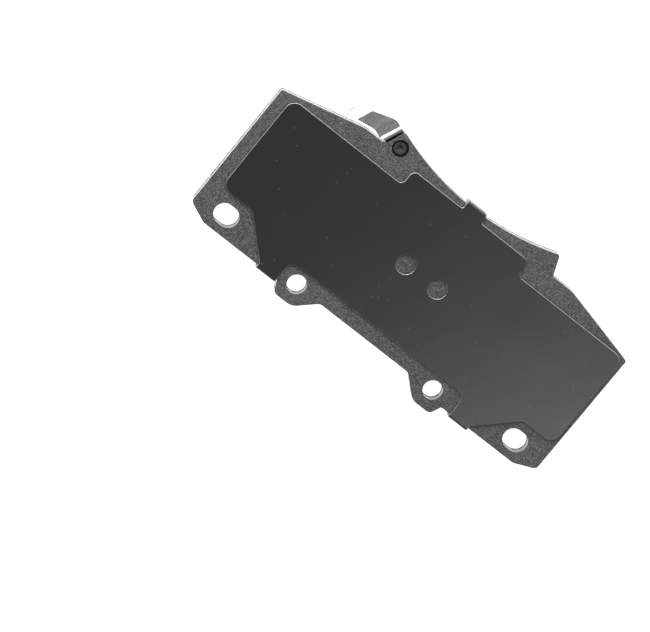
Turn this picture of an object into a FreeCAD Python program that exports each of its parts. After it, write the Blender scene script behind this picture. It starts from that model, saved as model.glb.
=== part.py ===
"""Disc brake pad for a four-piston fixed caliper, as an assembly of its real pieces.

Frame: the friction face lies on z = 0 and the shim faces +Z.  X runs along the pad's length.
+Y points to the hub of the wheel, so the retaining-pin side of the plate is at -Y.  The origin
is on the friction face, half-way along the pad and at the middle of the rubbed track.

The outlines below are drawn from the pin line, which joins the middles of the two pin slots.
main() moves every finished piece down by TRACK_MIDDLE_Y, which brings the origin to mid-track.
"""
import FreeCAD
import Part

import math
import os

# ---------------------------------------------------------------- driving dimensions, mm
PLATE_HALF_LENGTH = 75.6        # backing plate, from its middle to each end
PLATE_THICKNESS = 5.5
FRICTION_THICKNESS = 9.0        # wearing block
UNDERLAYER_THICKNESS = 2.0      # bonding layer between the plate and the wearing block
FRICTION_OUTER_RADIUS = 153.6   # outer edge of the rubbed track, about the wheel axis
FRICTION_WIDTH = 43.8           # across the track, at the middle of the pad
FRICTION_LOW_Y = 0.0            # outer edge of the friction at the middle, level with the pins

# backing plate outline
END_TOP_Y = 45.1                # where the end edge meets the sloping shoulder
SHOULDER_Y = 52.3               # level stretch of the shoulder beside the notch
SHOULDER_LEVEL_LENGTH = 8.4     # from the notch to where the shoulder starts to slope
SHOULDER_BLEND = 12.0           # radius where the level meets the slope
NOTCH_X = 36.9                  # inner corner of the notch, at the foot of the nose
NOSE_LEAN = 0.41                # sideways lean of the nose wall, mm per mm of height
NOSE_TIP_RADIUS = 0.8
ARC_LOW_Y = 53.6                # middle of the concave hub-side edge
PIN_EDGE_Y = -6.7               # outer stretches of the pin-side edge
CHAMFER_LENGTH = 7.8            # low corner of each end
CHAMFER_HEIGHT = 3.3
MIDDLE_EDGE_Y = -4.2            # pin-side edge between the two ears
END_CORNER_RADIUS = 2.0
TOP_CORNER_RADIUS = 1.0
ROOT_RADIUS = 0.5               # tight inside corners beside the nose and the ears
EDGE_BREAK = 0.35               # rounded rim of the coated plate

# pin slots and the ears with their holes
PIN_SLOT_INSET = 12.25          # middle of each retaining-pin slot to the plate's end
PIN_SLOT_WIDTH = 7.6
PIN_SLOT_LENGTH = 9.2
SPRING_HOLE_X = 29.8            # holes for the anti-rattle spring, in the ears
SPRING_HOLE_Y = -3.8
SPRING_HOLE_RADIUS = 3.45
EAR_WALL = 3.65                 # below a spring hole
EAR_INNER_RUN = 10.5            # hole to the inner root of the ear
EAR_INNER_FOOT = 3.3            # hole to the inner corner of the ear's flat bottom
EAR_OUTER_FOOT = 4.35           # hole to the outer corner of the flat bottom
EAR_OUTER_RUN = 6.2             # hole to the outer root
EAR_INNER_BLEND = 2.5
EAR_INNER_ROUND = 5.0
EAR_OUTER_ROUND = 2.2

# retention holes that the underlayer is moulded into
KEY_HOLE_RADIUS = 5.0
KEY_HOLE_OUTER_INSET = 24.6     # outer pair, from the plate's end
KEY_HOLE_OUTER_Y = 30.0
KEY_HOLE_INNER_X = 25.0
KEY_HOLE_INNER_Y = 20.0
KEY_TOP_GAP = 0.5               # the moulded plugs stop this far under the shim
BOND_GAP = 0.02                 # adhesive film round the moulded plugs

# friction outline inside the plate
FRICTION_END_MARGIN = 2.8       # square corner of the friction to the plate's end
SHOULDER_MARGIN = 1.4           # friction stays this far inside the plate's shoulder
LOBE_OUTER_FILLET = 7.0
LOBE_INNER_FILLET = 6.0
LOBE_CREST_FILLET = 8.0
ROOF_FILLET_SHARE = 0.95        # most of the edge under the shoulder that its two fillets may take

# shim: a folded steel sheet with a rubber coat on each side
SHIM_OFFSET_X = 1.6             # the shim sits off centre, towards +X
SHIM_CORE_THICKNESS = 0.5
RUBBER_THICKNESS = 0.15
SHIM_END_MARGIN = 3.0           # to the plate's ends, before the offset
SHIM_PIN_MARGIN = 3.1           # above the pin slots
SHIM_PIN_CORNER_BACK = 3.95     # corner of the diagonal, from the middle of the pin slot
SHIM_DIAGONAL_SLOPE = 0.941
SHIM_EAR_MARGIN = 1.85          # above the spring holes
SHIM_STEP_MARGIN = 3.55         # beside the rivet's recess
SHIM_CROWN_MARGIN = 2.2         # below the hub arc
SHIM_END_RADIUS = 3.8
SHIM_STEP_RADIUS = 2.1
SHIM_EAR_RADIUS = 3.3
SHIM_DIAGONAL_RADIUS = 2.5
TAB_WIDTH = 8.1
TAB_EAR_CLEARANCE = 0.45        # between a tab and the ear that it sits against
TAB_CLEARANCE = 0.25            # between a tab and the plate's edge
TAB_END_GAP = 0.6               # the tabs stop this far above the plate's friction side
TAB_RELIEF_RADIUS = 0.8
WINDOW_X = 6.9
WINDOW_Y = 24.6
WINDOW_RADIUS = 3.45

# wear indicator: spring-steel strip riveted to the nose at -X
STRIP_THICKNESS = 0.7
STRIP_CLEARANCE = 0.35          # between the rising leg and the nose
STRIP_HALF_WIDTH = 3.35         # foot, and the side of the leg towards the plate's shoulder
LEG_OUTER_W = 3.7               # side of the leg towards the tip of the nose
FOOT_RADIUS = STRIP_CLEARANCE   # inside radii of the four bends, foot to tip
CREST_RADIUS = 2.0
ARM_BEND_RADIUS = 1.2
KINK_RADIUS = 6.0
CREST_RISE = 0.45               # top of the strip above the plate's shim side
CREST_PEAK = 0.35               # the sharp corner of the crest, before it is rounded
ARM_REACH = 16.9                # rivet to the downward bend
ARM_DROP = 1.35                 # fall of the arm from the crest to the downward bend
TIP_BELOW_PLATE = 3.2           # lining that is left when the tip meets the disc
TIP_SLANT = 1.0                 # the outer corner of the tip stays this much higher
TIP_FLARE = 1.8                 # the tip leans away from the nose by this much
TIP_CORNER_RADIUS = 0.6
KINK_SHARE = 0.35               # share of the flare that is reached half-way down

# side edges of the strip beyond the leg: distance n from the rivet, place w across the strip
ARM_ROOT_N = 7.2                # just past the crest the strip widens towards the plate
ARM_INNER_W = -4.35
ARM_INNER_CORNER_N = 10.0       # from here to the bend the arm swings towards the plate
ARM_OUTER_CORNER_N = 9.1
ARM_SIDE_RADIUS = 4.0
BEND_INNER_W = -8.7             # at the downward bend
BEND_OUTER_W = -2.95
BEND_SIDE_RADIUS = 1.5
ROOT_SIDE_RADIUS = 0.8
TIP_INNER_W = -9.45             # at the tip
TIP_OUTER_W = -3.8

# rivet
RIVET_INSET_X = 5.1             # rivet to the inner corner of the notch
RIVET_RISE_Y = 1.9              # rivet above the level of the shoulder
RIVET_SHANK_RADIUS = 2.0
RIVET_HOLE_CLEARANCE = 0.05
RIVET_HEAD_RADIUS = 3.3
RIVET_HEAD_HEIGHT = 1.4
RIVET_HEAD_FLAT = 0.5
RIVET_TAIL_RADIUS = 2.45
RIVET_TAIL_HEIGHT = 1.1
RIVET_TAIL_ROUNDING = 0.4
RIVET_DIMPLE_RADIUS = 1.1
RIVET_DIMPLE_FLAT = 0.3
RIVET_DIMPLE_DEPTH = 0.8
RECESS_RADIUS = 2.95            # counterbore for the rivet's set end
RECESS_DEPTH = 2.4

CUT_OVERRUN = 1.0               # cutting shapes run this far past what they cut
SAME_PLACE = 1e-6               # points nearer than this are one point

# ---------------------------------------------------------------- levels and derived places
Z_UNDERLAYER = FRICTION_THICKNESS
Z_PLATE = Z_UNDERLAYER + UNDERLAYER_THICKNESS
Z_PLATE_TOP = Z_PLATE + PLATE_THICKNESS
TRACK_MIDDLE_Y = FRICTION_LOW_Y + FRICTION_WIDTH / 2
HUB_CENTRE_Y = FRICTION_LOW_Y + FRICTION_OUTER_RADIUS
HUB_ARC_RADIUS = HUB_CENTRE_Y - ARC_LOW_Y
FRICTION_INNER_RADIUS = FRICTION_OUTER_RADIUS - FRICTION_WIDTH
FRICTION_HALF_ANGLE = math.asin((PLATE_HALF_LENGTH - FRICTION_END_MARGIN) / FRICTION_OUTER_RADIUS)
SHOULDER_X = NOTCH_X + SHOULDER_LEVEL_LENGTH
SHOULDER_SLOPE = (SHOULDER_Y - END_TOP_Y) / (PLATE_HALF_LENGTH - SHOULDER_X)
PIN_SLOT_X = PLATE_HALF_LENGTH - PIN_SLOT_INSET
EAR_BOTTOM_Y = SPRING_HOLE_Y - SPRING_HOLE_RADIUS - EAR_WALL
EAR_ROOT_OUTER_X = SPRING_HOLE_X + EAR_OUTER_RUN
SHIM_THICKNESS = SHIM_CORE_THICKNESS + 2 * RUBBER_THICKNESS
TAB_INNER_X = EAR_ROOT_OUTER_X + abs(SHIM_OFFSET_X) + TAB_EAR_CLEARANCE
RIVET_X = RIVET_INSET_X - NOTCH_X
RIVET_Y = SHOULDER_Y + RIVET_RISE_Y
RIVET_HOLE_RADIUS = RIVET_SHANK_RADIUS + RIVET_HOLE_CLEARANCE
Z_TIP = Z_PLATE - TIP_BELOW_PLATE


# ---------------------------------------------------------------- drawing helpers
def vec(x, y, z=0.0):
    return FreeCAD.Vector(x, y, z)


def rounded_wire(corners):
    """Closed wire through corners (x, y, radius), each corner rounded to its radius."""
    count = len(corners)
    edges = []
    first = None
    last = None
    for i, (x, y, radius) in enumerate(corners):
        here = vec(x, y)
        before = vec(*corners[i - 1][:2]) - here
        after = vec(*corners[(i + 1) % count][:2]) - here
        before.normalize()
        after.normalize()
        if radius > 0:
            half = before.getAngle(after) / 2
            setback = radius / math.tan(half)
            start = here + before * setback
            end = here + after * setback
            inward = before + after
            inward.normalize()
            middle = here + inward * (radius / math.sin(half) - radius)
        else:
            start = here
            end = here
        if last is not None and last.distanceToPoint(start) > SAME_PLACE:
            edges.append(Part.makeLine(last, start))
        if radius > 0:
            edges.append(Part.Arc(start, middle, end).toShape())
        if first is None:
            first = start
        last = end
    if last.distanceToPoint(first) > SAME_PLACE:
        edges.append(Part.makeLine(last, first))
    return Part.Wire(edges)


def prism(corners, z_low, height):
    """Upright block with the given rounded outline."""
    shape = Part.Face(rounded_wire(corners)).extrude(vec(0, 0, height))
    shape.translate(vec(0, 0, z_low))
    return shape


def mirrored(right_half):
    """Whole outline from its right half, which runs from the low middle up to the top middle."""
    left_half = [(-x, y, r) for x, y, r in reversed(right_half)]
    return right_half + left_half


def disc(x, y, z_low, radius, height):
    return Part.makeCylinder(radius, height, vec(x, y, z_low))


def round_upright_edges(shape, places):
    """Round the upright edges that stand nearest to each (x, y, radius)."""
    for x, y, radius in places:
        upright = [e for e in shape.Edges if is_upright(e)]
        nearest = min(upright, key=lambda e: math.hypot(e.Vertexes[0].X - x, e.Vertexes[0].Y - y))
        shape = shape.makeFillet(radius, [nearest])
    return shape


def is_upright(edge):
    if len(edge.Vertexes) != 2:
        return False
    a, b = edge.Vertexes
    return math.hypot(a.X - b.X, a.Y - b.Y) < SAME_PLACE


def write(shape, name):
    shape.exportStep(os.path.join("parts", name + ".step"))


# ---------------------------------------------------------------- backing plate
def nose_wall_x(y):
    """Outer wall of a nose at height y, on the +X side."""
    return NOTCH_X - NOSE_LEAN * (y - SHOULDER_Y)


def plate_outline():
    tip_y = nose_tip()[1]
    top_y = tip_y + CUT_OVERRUN
    return mirrored([
        (SPRING_HOLE_X - EAR_INNER_RUN, MIDDLE_EDGE_Y, EAR_INNER_BLEND),
        (SPRING_HOLE_X - EAR_INNER_FOOT, EAR_BOTTOM_Y, EAR_INNER_ROUND),
        (SPRING_HOLE_X + EAR_OUTER_FOOT, EAR_BOTTOM_Y, EAR_OUTER_ROUND),
        (EAR_ROOT_OUTER_X, PIN_EDGE_Y, ROOT_RADIUS),
        (PLATE_HALF_LENGTH - CHAMFER_LENGTH, PIN_EDGE_Y, END_CORNER_RADIUS),
        (PLATE_HALF_LENGTH, PIN_EDGE_Y + CHAMFER_HEIGHT, END_CORNER_RADIUS),
        (PLATE_HALF_LENGTH, END_TOP_Y, TOP_CORNER_RADIUS),
        (SHOULDER_X, SHOULDER_Y, SHOULDER_BLEND),
        (NOTCH_X, SHOULDER_Y, ROOT_RADIUS),
        (nose_wall_x(top_y), top_y, 0.0),
    ])


def pin_slot(x, z_low, height):
    """Slot with round ends, its length along X."""
    end_x = (PIN_SLOT_LENGTH - PIN_SLOT_WIDTH) / 2
    radius = PIN_SLOT_WIDTH / 2
    slot = disc(x - end_x, 0, z_low, radius, height).fuse(disc(x + end_x, 0, z_low, radius, height))
    slot = slot.fuse(Part.makeBox(2 * end_x, 2 * radius, height, vec(x - end_x, -radius, z_low)))
    return slot.removeSplitter()


def nose_tip():
    """Where the nose wall meets the hub arc, on the +X side."""
    foot_x = nose_wall_x(0)
    half_sum = HUB_CENTRE_Y + NOSE_LEAN * foot_x
    square = 1 + NOSE_LEAN ** 2
    constant = HUB_CENTRE_Y ** 2 + foot_x ** 2 - HUB_ARC_RADIUS ** 2
    y = (half_sum - math.sqrt(half_sum ** 2 - square * constant)) / square
    return nose_wall_x(y), y


def key_hole_places():
    outer_x = PLATE_HALF_LENGTH - KEY_HOLE_OUTER_INSET
    outer = [(side * outer_x, KEY_HOLE_OUTER_Y) for side in (-1, 1)]
    inner = [(side * KEY_HOLE_INNER_X, KEY_HOLE_INNER_Y) for side in (-1, 1)]
    return outer + inner


def backing_plate():
    low_z = Z_PLATE - CUT_OVERRUN
    through = PLATE_THICKNESS + 2 * CUT_OVERRUN
    plate = prism(plate_outline(), Z_PLATE, PLATE_THICKNESS)
    plate = plate.cut(disc(0, HUB_CENTRE_Y, low_z, HUB_ARC_RADIUS, through))
    tip_x, tip_y = nose_tip()
    plate = round_upright_edges(plate, [(tip_x, tip_y, NOSE_TIP_RADIUS), (-tip_x, tip_y, NOSE_TIP_RADIUS)])
    rim = [e for e in plate.Edges if min(v.Z for v in e.Vertexes) > Z_PLATE_TOP - SAME_PLACE]
    plate = plate.makeFillet(EDGE_BREAK, rim)
    for side in (-1, 1):
        plate = plate.cut(pin_slot(side * PIN_SLOT_X, low_z, through))
        plate = plate.cut(disc(side * SPRING_HOLE_X, SPRING_HOLE_Y, low_z, SPRING_HOLE_RADIUS, through))
    for x, y in key_hole_places():
        plate = plate.cut(disc(x, y, low_z, KEY_HOLE_RADIUS, through))
    plate = plate.cut(disc(RIVET_X, RIVET_Y, low_z, RIVET_HOLE_RADIUS, through))
    recess = disc(RIVET_X, RIVET_Y, Z_PLATE_TOP - RECESS_DEPTH, RECESS_RADIUS, RECESS_DEPTH + CUT_OVERRUN)
    return plate.cut(recess)


# ---------------------------------------------------------------- friction material
def friction_prism(z_low, height):
    """Ring sector about the wheel axis, trimmed along the plate's shoulder."""
    sine = math.sin(FRICTION_HALF_ANGLE)
    cosine = math.cos(FRICTION_HALF_ANGLE)
    tangent = sine / cosine
    reach = FRICTION_OUTER_RADIUS / cosine + CUT_OVERRUN
    wedge = [
        (0, HUB_CENTRE_Y, 0),
        (-reach * sine, HUB_CENTRE_Y - reach * cosine, 0),
        (reach * sine, HUB_CENTRE_Y - reach * cosine, 0),
    ]
    block = prism(wedge, z_low, height)
    block = block.common(disc(0, HUB_CENTRE_Y, z_low, FRICTION_OUTER_RADIUS, height))
    inner_disc = disc(0, HUB_CENTRE_Y, z_low - CUT_OVERRUN, FRICTION_INNER_RADIUS, height + 2 * CUT_OVERRUN)
    block = block.cut(inner_disc)

    # roof line parallel to the sloping shoulder: y = HUB_CENTRE_Y - depth - slope * x
    slope = SHOULDER_SLOPE
    depth = HUB_CENTRE_Y - (SHOULDER_Y - SHOULDER_MARGIN) - slope * SHOULDER_X
    wide = PLATE_HALF_LENGTH
    peak_y = HUB_CENTRE_Y - depth
    floor_y = FRICTION_LOW_Y - CUT_OVERRUN
    roof = [
        (-wide, floor_y, 0),
        (wide, floor_y, 0),
        (wide, peak_y - slope * wide, 0),
        (0, peak_y, 0),
        (-wide, peak_y - slope * wide, 0),
    ]
    block = block.common(prism(roof, z_low, height))

    inner_x = depth * tangent / (1 - slope * tangent)
    spread = (depth * slope) ** 2 - (1 + slope ** 2) * (depth ** 2 - FRICTION_INNER_RADIUS ** 2)
    crest_x = (math.sqrt(spread) - depth * slope) / (1 + slope ** 2)

    # the two fillets at the ends of the roof edge share its length
    lean = math.atan(slope)
    roof_run = (inner_x - crest_x) / math.cos(lean)
    inner_turn = math.pi / 2 - FRICTION_HALF_ANGLE - lean
    crest_turn = math.asin(crest_x / FRICTION_INNER_RADIUS) + lean
    inner_setback = LOBE_INNER_FILLET * math.tan(inner_turn / 2)
    crest_setback = LOBE_CREST_FILLET * math.tan(crest_turn / 2)
    fit = min(1, ROOF_FILLET_SHARE * roof_run / (inner_setback + crest_setback))
    fillets = []
    for side in (-1, 1):
        fillets += [
            (side * FRICTION_OUTER_RADIUS * sine,
             HUB_CENTRE_Y - FRICTION_OUTER_RADIUS * cosine, LOBE_OUTER_FILLET),
            (side * inner_x, peak_y - slope * inner_x, fit * LOBE_INNER_FILLET),
            (side * crest_x, peak_y - slope * crest_x, fit * LOBE_CREST_FILLET),
        ]
    return round_upright_edges(block, fillets)


def friction_block():
    return friction_prism(0, FRICTION_THICKNESS)


def underlayer():
    """Bonding layer with moulded plugs that fill the plate's retention holes."""
    layer = friction_prism(Z_UNDERLAYER, UNDERLAYER_THICKNESS)
    plug_height = UNDERLAYER_THICKNESS + PLATE_THICKNESS - KEY_TOP_GAP
    for x, y in key_hole_places():
        layer = layer.fuse(disc(x, y, Z_UNDERLAYER, KEY_HOLE_RADIUS - BOND_GAP, plug_height))
    return layer.removeSplitter()


# ---------------------------------------------------------------- shim
def shim_outline(crown_fold_y):
    """Flat part of the shim, up to the lines where its three tabs fold down."""
    pin_edge_y = PIN_SLOT_WIDTH / 2 + SHIM_PIN_MARGIN
    pin_corner_x = PIN_SLOT_X - SHIM_PIN_CORNER_BACK
    middle_y = SPRING_HOLE_Y + SPRING_HOLE_RADIUS + SHIM_EAR_MARGIN
    end_x = PLATE_HALF_LENGTH - SHIM_END_MARGIN
    step_x = abs(RIVET_X) - RECESS_RADIUS - SHIM_STEP_MARGIN
    crown_y = ARC_LOW_Y - SHIM_CROWN_MARGIN
    tab_outer_x = TAB_INNER_X + TAB_WIDTH
    diagonal_low_y = pin_edge_y - (pin_corner_x - tab_outer_x) * SHIM_DIAGONAL_SLOPE
    return mirrored([
        (TAB_INNER_X, middle_y, SHIM_EAR_RADIUS),
        (TAB_INNER_X, PIN_EDGE_Y, 0),
        (tab_outer_x, PIN_EDGE_Y, 0),
        (tab_outer_x, diagonal_low_y, ROOT_RADIUS),
        (pin_corner_x, pin_edge_y, SHIM_DIAGONAL_RADIUS),
        (end_x, pin_edge_y, SHIM_END_RADIUS),
        (end_x, END_TOP_Y, SHIM_END_RADIUS),
        (step_x, END_TOP_Y, SHIM_STEP_RADIUS),
        (step_x, crown_y, SHIM_STEP_RADIUS),
        (TAB_WIDTH / 2, crown_y, TAB_RELIEF_RADIUS),
        (TAB_WIDTH / 2, crown_fold_y, 0),
    ])


def crown_tab_face_y():
    """Inner face of the crown tab: it clears the hub arc over its whole width."""
    far_x = abs(SHIM_OFFSET_X) + TAB_WIDTH / 2
    arc_y = HUB_CENTRE_Y - math.sqrt(HUB_ARC_RADIUS ** 2 - far_x ** 2)
    return arc_y + TAB_CLEARANCE


def folded_tab(x_low, width, fold_y, outward, skin_low, skin_high):
    """Quarter bend and hanging flat of a tab, between two depths through the shim's thickness."""
    bend_z = Z_PLATE_TOP - TAB_CLEARANCE
    inner = TAB_CLEARANCE + skin_low
    outer = TAB_CLEARANCE + skin_high
    ring = Part.makeCylinder(outer, width, vec(x_low, fold_y, bend_z), vec(1, 0, 0))
    ring = ring.cut(Part.makeCylinder(inner, width, vec(x_low, fold_y, bend_z), vec(1, 0, 0)))
    corner_y = fold_y if outward > 0 else fold_y - outer
    ring = ring.common(Part.makeBox(width, outer, outer, vec(x_low, corner_y, bend_z)))
    tab_low_z = Z_PLATE + TAB_END_GAP
    flat_y = fold_y + inner if outward > 0 else fold_y - outer
    flat = Part.makeBox(width, outer - inner, bend_z - tab_low_z, vec(x_low, flat_y, tab_low_z))
    return ring.fuse(flat)


def shim_layer(skin_low, skin_high):
    """One layer of the shim, from depth skin_low to skin_high above the plate."""
    crown_fold_y = crown_tab_face_y() - TAB_CLEARANCE
    layer = prism(shim_outline(crown_fold_y), Z_PLATE_TOP + skin_low, skin_high - skin_low)
    for side in (-1, 1):
        window = disc(side * WINDOW_X, WINDOW_Y, Z_PLATE_TOP, WINDOW_RADIUS, SHIM_THICKNESS + CUT_OVERRUN)
        layer = layer.cut(window)
    tabs = [
        (-TAB_INNER_X - TAB_WIDTH, TAB_WIDTH, PIN_EDGE_Y, -1),
        (TAB_INNER_X, TAB_WIDTH, PIN_EDGE_Y, -1),
        (-TAB_WIDTH / 2, TAB_WIDTH, crown_fold_y, 1),
    ]
    for x_low, width, fold_y, outward in tabs:
        layer = layer.fuse(folded_tab(x_low, width, fold_y, outward, skin_low, skin_high))
    layer = layer.removeSplitter()
    layer.translate(vec(SHIM_OFFSET_X, 0, 0))
    return layer


def shim_inner_rubber():
    return shim_layer(0, RUBBER_THICKNESS)


def shim_core():
    return shim_layer(RUBBER_THICKNESS, RUBBER_THICKNESS + SHIM_CORE_THICKNESS)


def shim_outer_rubber():
    return shim_layer(RUBBER_THICKNESS + SHIM_CORE_THICKNESS, SHIM_THICKNESS)


# ---------------------------------------------------------------- wear indicator
# The strip is drawn in its own frame: n runs square away from the nose wall, w along the wall
# and z up, with n = w = 0 at the rivet.
def nose_wall_n():
    """Distance from the rivet's axis to the nose wall."""
    lean = math.hypot(1, NOSE_LEAN)
    wall_x = nose_wall_x(RIVET_Y)
    return (wall_x - abs(RIVET_X)) / lean


def strip_near_side():
    """Corners (n, z) of the side that faces the nose, and the top of the arm, foot to tip."""
    leg_n = nose_wall_n() + STRIP_CLEARANCE
    crest_z = Z_PLATE_TOP + CREST_RISE
    arm_end_z = crest_z - ARM_DROP
    kink_z = (arm_end_z + Z_TIP) / 2
    kink_n = ARM_REACH + TIP_FLARE * KINK_SHARE
    tip_n = ARM_REACH + TIP_FLARE
    past_tip = CUT_OVERRUN / (kink_z - Z_TIP)
    return [
        (-STRIP_HALF_WIDTH, Z_PLATE),
        (leg_n, Z_PLATE),
        (leg_n, crest_z + CREST_PEAK),
        (ARM_REACH, arm_end_z),
        (kink_n, kink_z),
        (tip_n + (tip_n - kink_n) * past_tip, Z_TIP - CUT_OVERRUN),
    ]


def offset_polyline(points, distance):
    """Points of a polyline moved sideways by distance, with mitred corners."""
    moved = []
    for i, (n, z) in enumerate(points):
        normals = []
        for a, b in ((i - 1, i), (i, i + 1)):
            if a < 0 or b >= len(points):
                continue
            dn = points[b][0] - points[a][0]
            dz = points[b][1] - points[a][1]
            length = math.hypot(dn, dz)
            normals.append((dz / length, -dn / length))
        mn = sum(v[0] for v in normals)
        mz = sum(v[1] for v in normals)
        size = math.hypot(mn, mz)
        mn, mz = mn / size, mz / size
        cosine = mn * normals[0][0] + mz * normals[0][1]
        moved.append((n + mn * distance / cosine, z + mz * distance / cosine))
    return moved


def strip_section():
    """Closed section of the bent strip in the n-z plane, with its bends rounded."""
    near = strip_near_side()
    far = offset_polyline(near, STRIP_THICKNESS)
    near_radii = [0, FOOT_RADIUS, CREST_RADIUS + STRIP_THICKNESS,
                  ARM_BEND_RADIUS + STRIP_THICKNESS, KINK_RADIUS, 0]
    far_radii = [0, FOOT_RADIUS + STRIP_THICKNESS, CREST_RADIUS,
                 ARM_BEND_RADIUS, KINK_RADIUS + STRIP_THICKNESS, 0]
    corners = [(n, z, r) for (n, z), r in zip(near, near_radii)]
    corners += [(n, z, r) for (n, z), r in reversed(list(zip(far, far_radii)))]
    return corners


def strip_plan():
    """Outline of the strip seen from above, in the n-w plane."""
    leg_n = nose_wall_n() + STRIP_CLEARANCE
    tip_n = ARM_REACH + TIP_FLARE
    past_tip = CUT_OVERRUN / TIP_FLARE
    end_n = tip_n + CUT_OVERRUN
    end_inner_w = TIP_INNER_W + (TIP_INNER_W - BEND_INNER_W) * past_tip
    end_outer_w = TIP_OUTER_W + (TIP_OUTER_W - BEND_OUTER_W) * past_tip
    return [
        (-STRIP_HALF_WIDTH, -STRIP_HALF_WIDTH, STRIP_HALF_WIDTH),
        (leg_n + STRIP_THICKNESS, -STRIP_HALF_WIDTH, ROOT_SIDE_RADIUS),
        (ARM_ROOT_N, ARM_INNER_W, ROOT_SIDE_RADIUS),
        (ARM_INNER_CORNER_N, ARM_INNER_W, ARM_SIDE_RADIUS),
        (ARM_REACH, BEND_INNER_W, BEND_SIDE_RADIUS),
        (end_n, end_inner_w, 0),
        (end_n, end_outer_w, 0),
        (ARM_REACH, BEND_OUTER_W, BEND_SIDE_RADIUS),
        (ARM_OUTER_CORNER_N, LEG_OUTER_W, ARM_SIDE_RADIUS),
        (leg_n, LEG_OUTER_W, 0),
        (-STRIP_HALF_WIDTH, STRIP_HALF_WIDTH, STRIP_HALF_WIDTH),
    ]


def below_tip():
    """What lies under the slanted end of the strip, for x = n and y = -w."""
    slope = TIP_SLANT / (TIP_OUTER_W - TIP_INNER_W)
    inner_y = -TIP_INNER_W + CUT_OVERRUN
    outer_y = -TIP_OUTER_W - CUT_OVERRUN
    inner_z = Z_TIP - slope * CUT_OVERRUN
    outer_z = Z_TIP + TIP_SLANT + slope * CUT_OVERRUN
    low_z = Z_TIP - 2 * CUT_OVERRUN
    low_side = [vec(0, outer_y, low_z), vec(0, inner_y, low_z)]
    slanted_side = [vec(0, inner_y, inner_z), vec(0, outer_y, outer_z)]
    face = Part.Face(Part.makePolygon(low_side + slanted_side + low_side[:1]))
    face.translate(vec(ARM_REACH - CUT_OVERRUN, 0, 0))
    return face.extrude(vec(TIP_FLARE + 3 * CUT_OVERRUN, 0, 0))


def round_tip_corners(strip):
    """Round the two corners of the strip's lower end."""
    highest = Z_TIP + TIP_SLANT + STRIP_THICKNESS
    corners = [e for e in strip.Edges
               if max(v.Z for v in e.Vertexes) < highest
               and abs(e.Vertexes[0].Y - e.Vertexes[-1].Y) < STRIP_THICKNESS]
    return strip.makeFillet(TIP_CORNER_RADIUS, corners)


def to_nose(shape):
    """Carry a shape from the strip's frame (n, w, z) to the plate, on the -X nose."""
    lean = math.degrees(math.atan(NOSE_LEAN))
    shape.rotate(vec(0, 0, 0), vec(0, 0, 1), 180 - lean)
    shape.translate(vec(RIVET_X, RIVET_Y, 0))
    return shape


def wear_indicator():
    span = 2 * ARM_REACH
    section = Part.Face(rounded_wire(strip_section()))
    section.rotate(vec(0, 0, 0), vec(1, 0, 0), 90)
    section.translate(vec(0, span / 2, 0))
    strip = section.extrude(vec(0, -span, 0))
    # the half turn that carries the strip to the nose reverses w
    plan = prism([(n, -w, r) for n, w, r in reversed(strip_plan())], 0, Z_PLATE_TOP + ARM_REACH)
    strip = strip.common(plan)
    strip = round_tip_corners(strip.cut(below_tip()))
    foot_z = Z_PLATE - STRIP_THICKNESS
    hole = disc(0, 0, foot_z - CUT_OVERRUN, RIVET_HOLE_RADIUS, STRIP_THICKNESS + 2 * CUT_OVERRUN)
    return to_nose(strip.cut(hole))


def indicator_rivet():
    """Domed head under the foot, shank through the plate, set end with a dimple in the recess."""
    head_z = Z_PLATE - STRIP_THICKNESS
    floor_z = Z_PLATE_TOP - RECESS_DEPTH
    tail_z = floor_z + RIVET_TAIL_HEIGHT
    low_z = head_z - RIVET_HEAD_HEIGHT
    side = RIVET_HEAD_RADIUS - RIVET_HEAD_FLAT
    dome_radius = (side ** 2 + RIVET_HEAD_HEIGHT ** 2) / (2 * RIVET_HEAD_HEIGHT)
    half_side = side / 2
    dome_mid_z = low_z + dome_radius - math.sqrt(dome_radius ** 2 - half_side ** 2)
    corner = RIVET_TAIL_ROUNDING * (1 - math.sqrt(0.5))
    dome_rim = vec(RIVET_HEAD_RADIUS, 0, head_z)
    dome_mid = vec(RIVET_HEAD_FLAT + half_side, 0, dome_mid_z)
    dome_low = vec(RIVET_HEAD_FLAT, 0, low_z)
    tail_low = vec(RIVET_TAIL_RADIUS, 0, tail_z - RIVET_TAIL_ROUNDING)
    tail_mid = vec(RIVET_TAIL_RADIUS - corner, 0, tail_z - corner)
    tail_high = vec(RIVET_TAIL_RADIUS - RIVET_TAIL_ROUNDING, 0, tail_z)
    shank = [
        dome_rim,
        vec(RIVET_SHANK_RADIUS, 0, head_z),
        vec(RIVET_SHANK_RADIUS, 0, floor_z),
        vec(RIVET_TAIL_RADIUS, 0, floor_z),
        tail_low,
    ]
    top = [
        tail_high,
        vec(RIVET_DIMPLE_RADIUS, 0, tail_z),
        vec(RIVET_DIMPLE_FLAT, 0, tail_z - RIVET_DIMPLE_DEPTH),
        vec(0, 0, tail_z - RIVET_DIMPLE_DEPTH),
        vec(0, 0, low_z),
        dome_low,
    ]
    edges = [Part.makeLine(a, b) for a, b in zip(shank, shank[1:])]
    edges.append(Part.Arc(tail_low, tail_mid, tail_high).toShape())
    edges += [Part.makeLine(a, b) for a, b in zip(top, top[1:])]
    edges.append(Part.Arc(dome_low, dome_mid, dome_rim).toShape())
    rivet = Part.Face(Part.Wire(edges)).revolve(vec(0, 0, 0), vec(0, 0, 1), 360)
    rivet.translate(vec(RIVET_X, RIVET_Y, 0))
    return rivet


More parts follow.
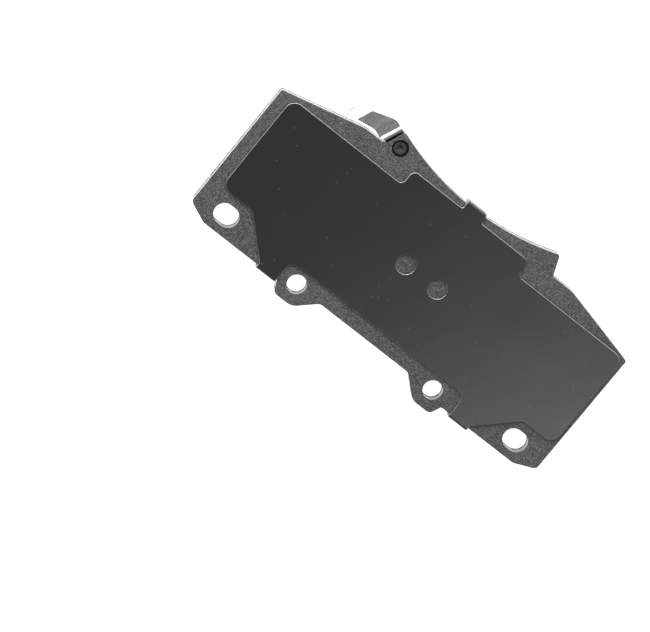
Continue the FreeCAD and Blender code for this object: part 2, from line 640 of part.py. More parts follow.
# ---------------------------------------------------------------- build
def main():
    os.makedirs("parts", exist_ok=True)
    pieces = {
        "backing_plate": backing_plate(),
        "underlayer": underlayer(),
        "friction_block": friction_block(),
        "shim_inner_rubber": shim_inner_rubber(),
        "shim_core": shim_core(),
        "shim_outer_rubber": shim_outer_rubber(),
        "wear_indicator": wear_indicator(),
        "indicator_rivet": indicator_rivet(),
    }
    for name, shape in pieces.items():
        shape.translate(vec(0, -TRACK_MIDDLE_Y, 0))
        box = shape.BoundBox
        print("%-18s solids %d valid %s volume %.1f x %.2f..%.2f y %.2f..%.2f z %.2f..%.2f" % (
            name, len(shape.Solids), shape.isValid(), shape.Volume,
            box.XMin, box.XMax, box.YMin, box.YMax, box.ZMin, box.ZMax))
        write(shape, name)


main()
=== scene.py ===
# %% [markdown]
# # A disc brake pad
#
# A brake pad is a stack: a thick steel backing plate with a grainy powder coat, a block of
# friction material that is moulded onto it over a thin underlayer, a damping shim of rubber-coated
# steel that clips over the plate's edges, and a spring-steel strip that squeals when the block is
# worn.  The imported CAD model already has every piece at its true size, so this script gives the
# pieces their rough walls, rounded rims and finishes, and lights them.

import math

import bmesh
import bpy
from mathutils import Matrix, Vector


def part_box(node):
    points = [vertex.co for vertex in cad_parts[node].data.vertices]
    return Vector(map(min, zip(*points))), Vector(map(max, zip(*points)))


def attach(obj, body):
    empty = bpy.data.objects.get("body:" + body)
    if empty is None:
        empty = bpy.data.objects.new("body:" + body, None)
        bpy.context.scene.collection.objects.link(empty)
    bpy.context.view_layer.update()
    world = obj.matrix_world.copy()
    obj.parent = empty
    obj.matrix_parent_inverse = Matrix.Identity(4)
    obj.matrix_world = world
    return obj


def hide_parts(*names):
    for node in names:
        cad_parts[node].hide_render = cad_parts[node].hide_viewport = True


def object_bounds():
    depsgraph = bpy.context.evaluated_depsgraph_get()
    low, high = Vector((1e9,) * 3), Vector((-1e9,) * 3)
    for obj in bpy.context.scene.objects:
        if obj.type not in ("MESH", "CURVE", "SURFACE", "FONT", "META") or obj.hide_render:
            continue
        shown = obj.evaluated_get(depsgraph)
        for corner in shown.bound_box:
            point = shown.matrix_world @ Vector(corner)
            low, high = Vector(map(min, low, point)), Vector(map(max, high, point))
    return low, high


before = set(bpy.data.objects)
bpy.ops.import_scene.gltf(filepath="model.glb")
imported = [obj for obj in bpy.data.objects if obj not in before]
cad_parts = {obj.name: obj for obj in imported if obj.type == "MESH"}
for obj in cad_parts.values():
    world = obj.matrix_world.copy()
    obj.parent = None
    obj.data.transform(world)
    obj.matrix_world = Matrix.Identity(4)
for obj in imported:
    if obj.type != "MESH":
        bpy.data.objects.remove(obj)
CAD_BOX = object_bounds()
MM = 0.001
BODY = "root"

print("CAD nodes:", ", ".join(sorted(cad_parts)))

# %% [markdown]
# ## Where the levels lie
#
# Nothing is measured twice: the heights of the plate and of the friction block come from the
# boxes of their CAD nodes, and the bands of the finishes are worked out from them.

# %% Levels of the stack
FRICTION_LOW, FRICTION_HIGH = (corner.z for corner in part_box("friction_block"))
PLATE_LOW, PLATE_HIGH = (corner.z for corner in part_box("backing_plate"))

print("plate from %.2f to %.2f mm" % (PLATE_LOW / MM, PLATE_HIGH / MM))

# %% [markdown]
# ## Working on one piece at a time
#
# Blender's operators act on whatever is selected, and the CAD nodes come in selected.  So every
# step below first deselects everything and then picks its own piece, faces or edges by where they
# are.


# %% Selection helpers
def alone(piece):
    bpy.ops.object.select_all(action="DESELECT")
    piece.select_set(True)
    bpy.context.view_layer.objects.active = piece


class EditMode:
    """Opens one piece in edit mode for the length of a with block."""

    def __init__(self, piece):
        self.piece = piece

    def __enter__(self):
        alone(self.piece)
        bpy.ops.object.mode_set(mode="EDIT")
        bpy.ops.mesh.select_all(action="DESELECT")

    def __exit__(self, *_):
        bpy.ops.object.mode_set(mode="OBJECT")


def pick(piece, kind, test):
    """In edit mode, selects the faces or edges that pass the test, and returns how many there are."""
    bpy.ops.mesh.select_mode(type="FACE" if kind == "faces" else "EDGE")
    bpy.ops.mesh.select_all(action="DESELECT")
    shape = bmesh.from_edit_mesh(piece.data)
    chosen = [item for item in getattr(shape, kind) if test(item)]
    for item in chosen:
        item.select_set(True)
    bmesh.update_edit_mesh(piece.data)
    return len(chosen)


def is_wall(face):
    return abs(face.normal.z) < 0.2


def is_level_face(face):
    return abs(face.normal.z) > 0.999


def modify(piece, kind, **settings):
    """Adds a modifier, sets it and applies it."""
    alone(piece)
    modifier = piece.modifiers.new(kind.title(), kind)
    for name, value in settings.items():
        setattr(modifier, name, value)
    bpy.ops.object.modifier_apply(modifier=modifier.name)


# %% [markdown]
# ## Copies of the CAD nodes
#
# Every piece of this pad has its true shape in the CAD model already, so each mesh starts as a copy
# of its CAD node and is worked on from there.  A CAD mesh is loose triangles: they are merged first,
# and the edges inside flat faces are dissolved, so that a later cut gives even strips.


# %% Copies of the CAD nodes
def copy_of(node, name):
    """A merged copy of a CAD node's mesh, with its flat faces cleared of needless edges."""
    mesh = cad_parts[node].data.copy()
    mesh.name = name
    mesh.materials.clear()
    piece = bpy.data.objects.new(name, mesh)
    bpy.context.scene.collection.objects.link(piece)
    with EditMode(piece):
        bpy.ops.mesh.customdata_custom_splitnormals_clear()
        bpy.ops.mesh.select_all(action="SELECT")
        bpy.ops.mesh.remove_doubles(threshold=0.0005 * MM)
        bpy.ops.mesh.dissolve_limited(angle_limit=math.radians(0.5))
    return piece


def seat(piece, node, material):
    """Hands a finished piece over to the frame in place of its CAD node."""
    piece.data.materials.clear()
    piece.data.materials.append(material)
    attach(piece, BODY)
    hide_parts(node)
    print("%s: %d faces" % (piece.name, len(piece.data.polygons)))


def smooth(piece, angle):
    """Smooth shading up to an angle, in which large flat faces stay flat."""
    alone(piece)
    bpy.ops.object.shade_smooth_by_angle(angle=math.radians(angle))
    modify(piece, "WEIGHTED_NORMAL", weight=100, keep_sharp=True)


# %% [markdown]
# ## The camera
#
# A long lens far above the shim, turned so that the pad lies aslant.  A lens this long hardly
# narrows the far end of the pad, so its outline can be judged as on a drawing.  The camera is placed
# first, so that every later step can be looked at from it.

# %% Camera
CAMERA_PLACE = Vector((-0.2612, 0.1600, 1.3018))
CAMERA_LOOKS = Vector((0.1859, -0.1424, -0.9722))
CAMERA_UP = Vector((-0.6029, 0.7647, -0.2273))
CAMERA_LENS = 216.1
SENSOR_WIDTH = 36


def upright_axes(forward, up):
    """Rotation of a camera or a lamp that looks along forward with up towards its top."""
    back = -forward.normalized()
    right = up.cross(back).normalized()
    return Matrix((right, back.cross(right), back)).transposed().to_euler()


bpy.ops.object.select_all(action="DESELECT")
bpy.ops.object.camera_add(location=CAMERA_PLACE, rotation=upright_axes(CAMERA_LOOKS, CAMERA_UP))
camera = bpy.context.object
camera.data.lens = CAMERA_LENS
camera.data.sensor_width = SENSOR_WIDTH
camera.data.clip_start = 0.01
bpy.context.scene.camera = camera
print("camera: %.0f mm lens, %.2f m from the pad" % (CAMERA_LENS, CAMERA_PLACE.length))

# %% [markdown]
# ## Shader maths in plain expressions
#
# A finish is a small network of nodes.  Writing `0.4 + 0.2 * grain` is easier to read than five
# lines that add and link nodes, so one class wraps a node's output and adds the Math nodes itself.


# %% Wires and finishes
class Wire:
    """One output of a node.  Sums and products of wires add Math nodes to the finish."""

    def __init__(self, finish, socket):
        self.finish = finish
        self.socket = socket

    def math(self, operation, *values):
        sockets = dict(enumerate(values))
        return self.finish.node("Math", {"operation": operation}, sockets)

    def __add__(self, other):
        return self.math("ADD", self, other)

    def __sub__(self, other):
        return self.math("SUBTRACT", self, other)

    def __rsub__(self, other):
        return self.math("SUBTRACT", other, self)

    def __mul__(self, other):
        return self.math("MULTIPLY", self, other)

    __radd__ = __add__
    __rmul__ = __mul__

    def above(self, level, softness):
        """0 where this wire is under the level, 1 where it is over, with a soft step between."""
        sockets = {"Value": self, "From Min": level - softness, "From Max": level + softness}
        return self.finish.node("MapRange", {"interpolation_type": "SMOOTHSTEP"}, sockets)


class Finish:
    """A material under construction, with its patterns measured in millimetres."""

    def __init__(self, name):
        self.material = bpy.data.materials.new(name)
        self.material.use_nodes = True
        self.tree = self.material.node_tree
        self.shader = self.tree.nodes["Principled BSDF"]
        place = self.node("TexCoord", {}, {}, output="Object")
        self.mm = self.node("VectorMath", {"operation": "SCALE"}, {"Vector": place, "Scale": 1 / MM})

    def connect(self, socket, value):
        if isinstance(value, Wire):
            self.tree.links.new(value.socket, socket)
        else:
            socket.default_value = value

    def node(self, kind, settings, sockets, output=0):
        """Adds any shader node: its settings are set first, and then its sockets."""
        node = self.tree.nodes.new("ShaderNode" + kind)
        for name, value in settings.items():
            setattr(node, name, value)
        for key, value in sockets.items():
            self.connect(node.inputs[key], value)
        return Wire(self, node.outputs[output])

    def stretched(self, scale, turn=0.0):
        """Millimetre coordinates that are turned about Z and then scaled along each axis."""
        sockets = {"Vector": self.mm, "Rotation": (0, 0, turn)}
        turned = self.node("Mapping", {"vector_type": "POINT"}, sockets)
        return self.node("VectorMath", {"operation": "MULTIPLY"}, {0: turned, 1: scale})

    def ruffled(self, scale, amount):
        """Millimetre coordinates shaken by a fine noise, so that cells lose their round outlines."""
        shake = self.node("TexNoise", {}, {"Vector": self.mm, "Scale": scale, "Detail": 1}, "Color")
        sockets = {0: shake, 1: (amount, amount, amount), 2: self.mm}
        return self.node("VectorMath", {"operation": "MULTIPLY_ADD"}, sockets)

    def noise(self, scale, detail=2.0, roughness=0.5, at=None):
        sockets = {"Vector": at or self.mm, "Scale": scale, "Detail": detail, "Roughness": roughness}
        return self.node("TexNoise", {}, sockets)

    def cells(self, scale, output="Distance", at=None):
        return self.node("TexVoronoi", {}, {"Vector": at or self.mm, "Scale": scale}, output)

    def chance(self, scale, at=None):
        """One random number from 0 to 1 for each cell of the same scale."""
        return self.node("SeparateColor", {}, {0: self.cells(scale, "Color", at=at)}, output=0)

    def along(self, axis):
        """Place along X, Y or Z in millimetres; Z is the height above the friction face."""
        return self.node("SeparateXYZ", {}, {0: self.mm}, output=axis)

    def mix(self, factor, low, high):
        """A colour between low and high."""
        sockets = {0: factor, 6: (*low, 1) if isinstance(low, tuple) else low}
        sockets[7] = (*high, 1) if isinstance(high, tuple) else high
        return self.node("Mix", {"data_type": "RGBA", "clamp_factor": True}, sockets, output=2)

    def bump(self, height, depth, strength=1.0, over=None):
        """Surface normal for a height pattern from 0 to 1 that is depth millimetres deep."""
        sockets = {"Height": height, "Distance": depth * MM, "Strength": strength}
        if over is not None:
            sockets["Normal"] = over
        return self.node("Bump", {}, sockets)

    def close(self, **values):
        """Sets the shader's own sockets and returns the material."""
        for name, value in values.items():
            socket = self.shader.inputs[name.replace("_", " ")]
            if isinstance(value, tuple):
                value = (*value, 1)
            self.connect(socket, value)
        return self.material


# %% [markdown]
# ## The backing plate
#
# The plate is punched out of 5.5 mm strip.  The punch burnishes the upper part of the cut, and the
# steel tears away below it, so a real plate has a smooth band over a rough one all round.  That is
# shape and not colour, so the walls are cut into short strips and the torn band is pushed in by
# noise.  The sharp rims, such as those of the holes, get a small round, because the powder coat
# flows round them.

# %% Rough walls
WALL_STEP = 0.5 * MM
LEVEL_NORMAL = 0.75         # a vertex whose normal has a larger Z than this lies on a level face


def refine_walls(piece, levels):
    """Cuts the walls and their rounded rims into short strips, and the walls across at each level."""

    def is_long_rim(edge):
        a, b = edge.verts
        flat = abs(a.co.z - b.co.z) < 0.01 * MM
        return flat and edge.calc_length() > WALL_STEP and not all(is_level_face(f) for f in edge.link_faces)

    with EditMode(piece):
        while pick(piece, "edges", is_long_rim):
            bpy.ops.mesh.subdivide(number_cuts=1)
        for z in levels:
            pick(piece, "faces", is_wall)
            bpy.ops.mesh.bisect(plane_co=(0, 0, z), plane_no=(0, 0, 1))
        pick(piece, "faces", is_level_face)
        bpy.ops.mesh.dissolve_limited(angle_limit=math.radians(0.5))


def even_levels(low, high, count):
    return [low + (high - low) * (i + 1) / (count + 1) for i in range(count)]


def wear_away(piece, name, weight_at, grain, depth):
    """Pushes vertices in by up to depth with a cloud pattern; weight_at(vertex) says how much."""
    group = piece.vertex_groups.new(name=name)
    for vertex in piece.data.vertices:
        weight = weight_at(vertex)
        if weight > 0:
            group.add([vertex.index], weight, "REPLACE")
    clouds = bpy.data.textures.new(name, "CLOUDS")
    clouds.noise_scale = grain
    clouds.noise_depth = 2
    modify(piece, "DISPLACE", texture=clouds, texture_coords="LOCAL", strength=depth, mid_level=1.0,
           vertex_group=name)
    piece.vertex_groups.clear()


# %% Plate
HOLE_ROUND = 0.3 * MM
TORN_SHARE = 0.55           # of the wall's height, from the friction side up
TORN_TOP = PLATE_LOW + TORN_SHARE * (PLATE_HIGH - PLATE_LOW)
TEAR_SIZE = 0.8 * MM
TEAR_DEPTH = 0.32 * MM
BURNISHED_WEAR = 0.12       # share of the depth that the smooth band gets

plate = copy_of("backing_plate", "plate_body")
modify(plate, "BEVEL", width=HOLE_ROUND, segments=3, limit_method="ANGLE", angle_limit=math.radians(60))
refine_walls(plate, even_levels(PLATE_LOW, PLATE_HIGH, 11))


def torn_weight(vertex):
    if abs(vertex.normal.z) > LEVEL_NORMAL:
        return 0
    return 1 if vertex.co.z < TORN_TOP else BURNISHED_WEAR


wear_away(plate, "torn", torn_weight, TEAR_SIZE, TEAR_DEPTH)
smooth(plate, 40)
print("torn band up to %.2f mm" % (TORN_TOP / MM))

# %% [markdown]
# ## The powder coat
#
# The powder coat is dark grey and grainy, like fine sandpaper: specks of about half a millimetre,
# some lighter and some darker, that also stand up a little and catch the light on the rims.  The
# walls carry long streaks that the punch leaves, and a thin gloss that shows only at a low angle.
# Their colour is also painted darker than the top's, as painted shade.

# %% Powder coat
COAT_DARK = (0.004, 0.004, 0.005)
COAT_LIGHT = (0.185, 0.185, 0.187)
RIM_DROP = 0.35             # millimetres from the plate's top to where its walls begin


def powder_coat_and_wall_shade():
    coat = Finish("powder_coat_and_wall_shade")
    sand = coat.noise(3.0, detail=4, roughness=0.7)
    broad = coat.noise(0.09, detail=2)
    place = coat.ruffled(3.5, 0.75)
    grains = coat.cells(2.9, at=place)
    kind = coat.chance(2.9, at=place)
    grain = (1 - grains.above(0.46, 0.20)) * kind
    pit = (1 - grains.above(0.32, 0.14)) * (1 - kind.above(0.25, 0.08))
    wall = 1 - coat.along("Z").above(PLATE_HIGH / MM - RIM_DROP, 0.15)
    torn = 1 - coat.along("Z").above(TORN_TOP / MM, 0.4)
    tears = coat.noise(1.0, detail=4, roughness=0.7, at=coat.stretched((0.45, 0.45, 3.0)))
    streaks = coat.noise(1.0, detail=3, at=coat.stretched((0.3, 0.3, 4.5)))
    spots = sand.above(0.50, 0.16) * 0.32 + grain * 0.72 - pit * 0.25
    # painted shade: on the walls most light specks are taken out and the streaks sit below the middle, so
    # the walls are painted darker than the top
    light = spots * (1 - wall * 0.75) + broad * 0.16 + tears * torn * 0.16 + (streaks - 0.6) * wall * 0.5
    shade = coat.mix(light - 0.05, COAT_DARK, COAT_LIGHT)
    relief = (sand * 0.45 + grain * 0.6 - pit * 0.4) * (1 - wall * 0.3) + tears * torn * 2.2
    normal = coat.bump(relief, 0.10, 0.9)
    return coat.close(Base_Color=shade, Roughness=0.46 + 0.20 * sand, Coat_Weight=wall,
                      Specular_IOR_Level=0.3, Normal=normal)


seat(plate, "backing_plate", powder_coat_and_wall_shade())

# %% [markdown]
# ## Friction block and underlayer
#
# The block is pressed from fibres, graphite, metal chips and resin.  Its face is ground flat, and
# its sides come rough from the mould and crumble at the lower rim.  The underlayer is a darker,
# denser mix, and it shows only as a narrow band under the plate.  Both are worn in the same way as
# the plate's walls, each with its own grain and depth.

# %% Block and underlayer
RIM_ROUND = 0.45 * MM
RIM_SHARE = 0.12            # of the block's height, which crumbles most
SIDE_WEAR = 0.35            # share of the depth that the rest of the sides gets
CRUMB_SIZE = 0.7 * MM
CRUMB_DEPTH = 0.60 * MM
BOND_WEAR = 0.6
BOND_GRAIN = 1.0 * MM
BOND_DEPTH = 0.35 * MM

block = copy_of("friction_block", "friction_body")
modify(block, "BEVEL", width=RIM_ROUND, segments=2, limit_method="ANGLE", angle_limit=math.radians(60))
refine_walls(block, even_levels(FRICTION_LOW, FRICTION_HIGH, 16))


def block_weight(vertex):
    if abs(vertex.normal.z) > LEVEL_NORMAL:
        return 0
    from_floor = (vertex.co.z - FRICTION_LOW) / (FRICTION_HIGH - FRICTION_LOW)
    return 1 if from_floor < RIM_SHARE else SIDE_WEAR


wear_away(block, "crumbled", block_weight, CRUMB_SIZE, CRUMB_DEPTH)
smooth(block, 50)

underlayer = copy_of("underlayer", "underlayer_body")
refine_walls(underlayer, even_levels(FRICTION_HIGH, PLATE_LOW, 3))


def bond_weight(vertex):
    return BOND_WEAR if FRICTION_HIGH < vertex.co.z < PLATE_LOW else 0


wear_away(underlayer, "squeezed", bond_weight, BOND_GRAIN, BOND_DEPTH)
smooth(underlayer, 50)
print("block %.1f mm high, underlayer %.1f mm"
      % ((FRICTION_HIGH - FRICTION_LOW) / MM, (PLATE_LOW - FRICTION_HIGH) / MM))

# %% [markdown]
# ## The friction mix
#
# The mix is nearly black with brown-grey fibres and a few metal chips that glint.  One function
# makes both finishes, because the underlayer is the same stuff with a darker filling and fewer chips.

# %% Friction mix
BLOCK_DARK = (0.010, 0.0098, 0.0094)
BLOCK_LIGHT = (0.115, 0.108, 0.100)
BOND_DARK = (0.010, 0.0095, 0.009)
BOND_LIGHT = (0.045, 0.042, 0.040)
CHIP_METAL = (0.26, 0.235, 0.20)


def friction_mix(name, dark, light, chips):
    mix = Finish(name)
    grain = mix.noise(2.4, detail=5, roughness=0.75)
    fine = mix.noise(7.0, detail=3)
    flecks = mix.cells(3.2)
    chosen = mix.chance(3.2)
    chip = (1 - flecks.above(0.24, 0.08)) * chosen.above(0.84, 0.06)
    pits = mix.cells(1.1)
    pit = 1 - pits.above(0.22, 0.10)
    body = mix.mix((grain - 0.5) * 3.0 + fine * 0.7 + 0.05, dark, light)
    shade = mix.mix(chip * chips, body, CHIP_METAL)
    relief = grain * 0.9 + fine * 0.3 - pit * 0.35
    normal = mix.bump(relief, 0.30, 1.0)
    return mix.close(Base_Color=shade, Roughness=0.88 - 0.35 * chip, Metallic=chip * 0.6, Normal=normal)


seat(block, "friction_block",
     friction_mix("friction_mix", BLOCK_DARK, BLOCK_LIGHT, chips=0.75))
seat(underlayer, "underlayer",
     friction_mix("underlayer_mix", BOND_DARK, BOND_LIGHT, chips=0.15))

# %% [markdown]
# ## The shim
#
# The shim is a sandwich of steel between two skins of black rubber.  The outer skin stays a little
# behind the cut edge, and the core's edge is rounded, so it shows as a thin bright line.  The outer
# skin is made from the top of its CAD node alone: inset, and then given its thickness again.

# %% Shim layers
SKIN_BACK = 0.11 * MM       # how far the outer skin stays behind the cut edge
SKIN_ROUND = 0.10 * MM
CORE_ROUND = 0.24 * MM

outer_skin = copy_of("shim_outer_rubber", "shim_outer_skin")
SKIN_LOW, SKIN_HIGH = (corner.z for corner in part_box("shim_outer_rubber"))
CORE_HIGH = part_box("shim_core")[1].z


def is_skin_top(face):
    return is_level_face(face) and face.calc_center_median().z > SKIN_HIGH - 0.01 * MM


with EditMode(outer_skin):
    pick(outer_skin, "faces", is_skin_top)
    bpy.ops.mesh.faces_select_linked_flat(sharpness=math.radians(45))
    bpy.ops.mesh.select_all(action="INVERT")
    bpy.ops.mesh.delete(type="FACE")
    bpy.ops.mesh.select_all(action="SELECT")
    bpy.ops.mesh.inset(thickness=SKIN_BACK, use_boundary=True, use_even_offset=True)
    bpy.ops.mesh.select_all(action="INVERT")
    bpy.ops.mesh.delete(type="FACE")
modify(outer_skin, "SOLIDIFY", thickness=SKIN_HIGH - CORE_HIGH, offset=-1.0)
modify(outer_skin, "BEVEL", width=SKIN_ROUND, segments=3, limit_method="ANGLE",
       angle_limit=math.radians(50))
smooth(outer_skin, 35)

core = copy_of("shim_core", "shim_core_sheet")
modify(core, "BEVEL", width=CORE_ROUND, segments=4, limit_method="ANGLE", angle_limit=math.radians(50))
smooth(core, 35)

inner_skin = copy_of("shim_inner_rubber", "shim_inner_skin")
smooth(inner_skin, 35)
print("outer skin %.2f mm thick, %.2f mm behind the edge" % ((SKIN_HIGH - CORE_HIGH) / MM, SKIN_BACK / MM))

# %% [markdown]
# ## Satin rubber and cut steel
#
# The rubber is smooth and almost black, so what it mirrors matters more than its colour.  Faint
# clouds and smears change its gloss, and a few specks and one thin scratch keep it from looking new
# out of a computer.  The steel shows only at the cut, where the shear leaves short upright ticks.

# %% Satin rubber
RUBBER_BLACK = (0.0085, 0.0085, 0.0095)
SCUFF_GREY = (0.42, 0.42, 0.43)


def scratches(finish, turn, spacing, sparse):
    """Thin straight lines along one direction, broken up so that few are left."""
    lanes = finish.noise(1.0, detail=1, at=finish.stretched((0.018, 1 / spacing, 0.0), turn))
    off_lane = lanes - 0.5
    line = 1 - off_lane.math("ABSOLUTE", off_lane).above(0.006, 0.005)
    where = finish.noise(0.05, detail=2, at=finish.stretched((1.0, 1.0, 0.0), turn))
    return line * where.above(sparse, 0.03)


def shim_rubber():
    rubber = Finish("satin_rubber")
    cloud = rubber.noise(0.035, detail=3)
    smear = rubber.noise(0.9, detail=3, at=rubber.stretched((0.10, 0.45, 1.0), math.radians(35)))
    skin = rubber.noise(7.0, detail=2)
    waves = rubber.noise(0.045, detail=1)
    specks = rubber.cells(0.42)
    chosen = rubber.chance(0.42)
    speck = (1 - specks.above(0.05, 0.02)) * chosen.above(0.55, 0.02)
    scratch = scratches(rubber, math.radians(62), 3.7, 0.66)
    mark = speck * 0.5 + scratch * 0.05 + skin * 0.012
    shade = rubber.mix(mark, RUBBER_BLACK, SCUFF_GREY)
    rough = 0.25 + 0.05 * cloud + 0.04 * smear
    wall = 1 - rubber.along("Z").above(SKIN_LOW / MM - 0.6, 0.2)
    ripple = rubber.bump(waves, 0.3, 0.35)
    normal = rubber.bump(skin, 0.015, 0.6, over=ripple)
    return rubber.close(Base_Color=shade, Roughness=rough, Coat_Weight=wall * 0.6, Normal=normal)


# %% Cut steel
SHEAR_DARK = (0.26, 0.26, 0.265)
SHEAR_LIGHT = (0.60, 0.60, 0.61)


def sheared_steel():
    steel = Finish("sheared_steel")
    ticks = steel.noise(1.0, detail=2, at=steel.stretched((5.0, 5.0, 0.5)))
    shade = steel.mix(ticks, SHEAR_DARK, SHEAR_LIGHT)
    return steel.close(Base_Color=shade, Metallic=1.0, Roughness=0.34 + 0.2 * ticks,
                       Normal=steel.bump(ticks, 0.03, 0.6))


rubber_finish = shim_rubber()
seat(outer_skin, "shim_outer_rubber", rubber_finish)
seat(core, "shim_core", sheared_steel())
seat(inner_skin, "shim_inner_rubber", rubber_finish)

# %% [markdown]
# ## Wear indicator and rivet
#
# The strip is bright plated spring steel, bent four times and riveted under the nose of the plate.
# Plating and rolling leave fine lines along the strip, and its cut edges are slightly rounded.

# %% Strip and rivet
STRIP_ROUND = 0.07 * MM

strip = copy_of("wear_indicator", "indicator_strip")
modify(strip, "BEVEL", width=STRIP_ROUND, segments=2, limit_method="ANGLE", angle_limit=math.radians(50))
smooth(strip, 40)

rivet = copy_of("indicator_rivet", "indicator_rivet_body")
smooth(rivet, 40)

# %% [markdown]
# ## Plating and rivet steel
#
# The plating is bright on the crest and the arm.  On the leg beside the nose a brown painted
# reflection is laid into its colour, and the plating there is rougher and less metallic.  A band
# about 0.9 mm high at the strip's lowest edge, the tip, is darker, rougher and less metallic.  The
# plating's lines follow the strip, so the pattern is turned to run along it.

# %% Plating
STRIP_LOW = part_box("wear_indicator")[0]
NOSE_LEAN = 0.41                        # of the nose's wall, and the strip runs square to that wall
STRIP_TURN = math.atan(NOSE_LEAN)
LEG_RUN = 5.72                          # millimetres from the rivet to where the leg meets the crest
PLATING_BRIGHT = (0.70, 0.69, 0.66)
PLATING_DULL = (0.54, 0.525, 0.495)
# the brown of the painted reflection on the leg
LEG_REFLECTION_BROWN = (0.22, 0.19, 0.155)
TIP_DARK = (0.10, 0.095, 0.09)


def along_strip(place):
    """Millimetres along the strip's own line for a place in the frame; it falls towards the tip."""
    return (place.x * math.cos(STRIP_TURN) - place.y * math.sin(STRIP_TURN)) / MM


rivet_low, rivet_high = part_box("indicator_rivet")
LEG_ENDS = along_strip((rivet_low + rivet_high) / 2) - LEG_RUN
print("the leg ends at %.2f mm along the strip" % LEG_ENDS)


def plated_strip_and_leg_reflection():
    zinc = Finish("plated_strip_and_leg_reflection")
    lines = zinc.noise(1.0, detail=3, at=zinc.stretched((0.6, 7.0, 0.6), STRIP_TURN))
    cloud = zinc.noise(0.5, detail=3)
    pock = zinc.noise(3.0, detail=2)
    tarnish = (cloud * 0.6 + lines * 0.4).above(0.52, 0.12)
    # darker, rougher and less metallic in a band about 0.9 mm high at the strip's lowest edge
    dark_tip_band = 1 - zinc.along("Z").above(STRIP_LOW.z / MM + 0.9, 0.3)
    run = zinc.node("SeparateXYZ", {}, {0: zinc.stretched((1, 1, 1), STRIP_TURN)}, output="X")
    # painted reflection: on the leg the plating is coloured brown, and made rougher and less metallic, for
    # the brown that the leg mirrors
    painted_leg_reflection = run.above(LEG_ENDS, 0.3)
    plated = zinc.mix(tarnish, PLATING_BRIGHT, PLATING_DULL)
    with_leg_reflection = zinc.mix(painted_leg_reflection * 0.8, plated, LEG_REFLECTION_BROWN)
    shade = zinc.mix(dark_tip_band * 0.8, with_leg_reflection, TIP_DARK)
    rough = 0.18 + 0.15 * lines + 0.08 * tarnish + 0.4 * dark_tip_band + 0.25 * painted_leg_reflection
    normal = zinc.bump(lines * 0.8 + pock * 0.2, 0.012, 0.4)
    metal = 1 - 0.85 * dark_tip_band - 0.5 * painted_leg_reflection
    return zinc.close(Base_Color=shade, Metallic=metal, Roughness=rough, Normal=normal)


# %% Rivet steel
# painted shade: the rivet's steel is painted nearly black, for the shade in its recess; the mottling over it
# is the steel's own
RIVET_DARK = (0.025, 0.025, 0.026)
RIVET_LIGHT = (0.095, 0.094, 0.092)


def rivet_steel():
    steel = Finish("rivet_steel")
    scale = steel.noise(1.6, detail=4)
    shade = steel.mix(scale, RIVET_DARK, RIVET_LIGHT)
    return steel.close(Base_Color=shade, Metallic=0.7, Roughness=0.30 + 0.20 * scale,
                       Normal=steel.bump(scale, 0.12, 0.6))


seat(strip, "wear_indicator", plated_strip_and_leg_reflection())
seat(rivet, "indicator_rivet", rivet_steel())

# %% [markdown]
# ## Floor and light
#
# The studio is a pale floor that glows a little, so that the pad's upright walls, which a high
# camera sees almost edge on, mirror a bright surface.  The overhead light is weak and the sides are
# strong: then the black shim stays calm, and the rims and the bright strip catch the sides.

# %% Floor
FLOOR_SIZE = 6.0
FLOOR_GAP = 0.05 * MM       # keeps the floor and the friction face from sharing one plane
FLOOR_DARK = (0.50, 0.50, 0.50)
FLOOR_LIGHT = (0.53, 0.53, 0.53)
FLOOR_GLOW = 1.7

bpy.ops.object.select_all(action="DESELECT")
bpy.ops.mesh.primitive_plane_add(size=FLOOR_SIZE, location=(0, 0, CAD_BOX[0][2] - FLOOR_GAP))
floor = bpy.context.object
floor.name = "studio_floor"


def floor_paint():
    paint = Finish("floor_paint")
    tone = paint.noise(0.004, detail=1)
    shade = paint.mix(tone, FLOOR_DARK, FLOOR_LIGHT)
    return paint.close(Base_Color=shade, Roughness=0.6, Emission_Color=shade, Emission_Strength=FLOOR_GLOW)


floor.data.materials.append(floor_paint())
print("floor: %.1f m square" % FLOOR_SIZE)

# %% [markdown]
# ## Soft boxes
#
# Two large boxes stand low on the left and on the hub side, and light the rims and the grain.  Two
# small ones stand close, so their light falls off across the pad: that gives the shim its gradient.


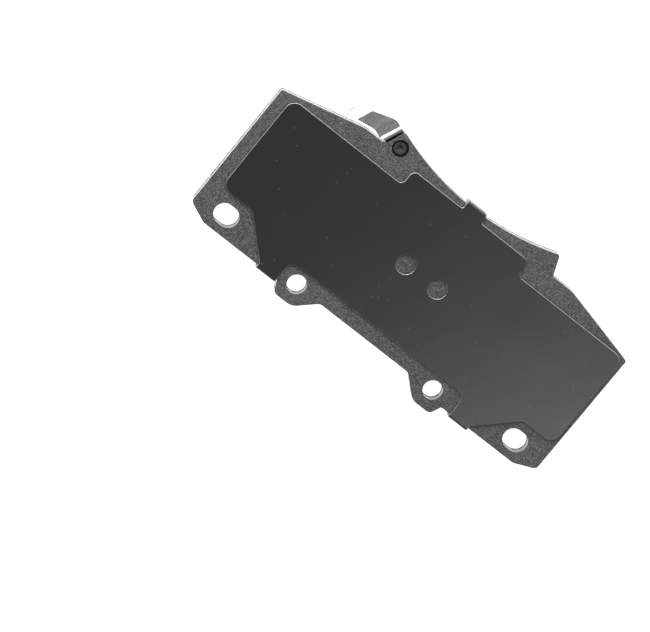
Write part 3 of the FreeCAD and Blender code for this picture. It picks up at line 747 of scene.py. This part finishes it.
# %% Soft boxes
def softbox(name, azimuth, elevation, distance, size, power):
    """A square area lamp that faces the pad; azimuth counts from +X towards +Y, elevation from the floor."""
    a = math.radians(azimuth)
    e = math.radians(elevation)
    away = Vector((math.cos(a) * math.cos(e), math.sin(a) * math.cos(e), math.sin(e)))
    turn = upright_axes(-away, Vector((0, 0.01, 1)))
    bpy.ops.object.light_add(type="AREA", location=away * distance, rotation=turn)
    lamp = bpy.context.object
    lamp.name = name
    lamp.data.shape = "SQUARE"
    lamp.data.size = size
    lamp.data.energy = power
    print("%s: %.1f W, %.2f m away" % (name, power, distance))


softbox("softbox_left", 165, 24, 1.6, 1.3, 14)
softbox("softbox_hub", 80, 24, 1.6, 1.2, 12)
softbox("softbox_near", 128, 38, 0.38, 0.24, 1.5)
softbox("softbox_right", -28, 56, 0.55, 0.26, 1.0)

# %% [markdown]
# ## The air
#
# The air is dim overhead, because the flat black shim mirrors that part of it, and bright near the
# horizon, which the rims and the bent strip mirror.

# %% Air
HORIZON_GLOW = 0.75
ZENITH_GLOW = 0.14
HORIZON_ENDS = 0.35         # both are sines of the height above the horizon
ZENITH_STARTS = 0.80

world = bpy.data.worlds.new("studio_air")
world.use_nodes = True
air = world.node_tree
direction = air.nodes.new("ShaderNodeTexCoord")
upward = air.nodes.new("ShaderNodeSeparateXYZ")
fade = air.nodes.new("ShaderNodeMapRange")
fade.inputs["From Min"].default_value = HORIZON_ENDS
fade.inputs["From Max"].default_value = ZENITH_STARTS
fade.inputs["To Min"].default_value = HORIZON_GLOW
fade.inputs["To Max"].default_value = ZENITH_GLOW
air.links.new(direction.outputs["Generated"], upward.inputs[0])
air.links.new(upward.outputs["Z"], fade.inputs["Value"])
air.links.new(fade.outputs[0], air.nodes["Background"].inputs["Strength"])
air.nodes["Background"].inputs["Color"].default_value = (1.0, 1.0, 1.0, 1)
bpy.context.scene.world = world
bpy.context.scene.view_settings.view_transform = "Standard"
print("air: %.2f at the horizon, %.2f overhead" % (HORIZON_GLOW, ZENITH_GLOW))
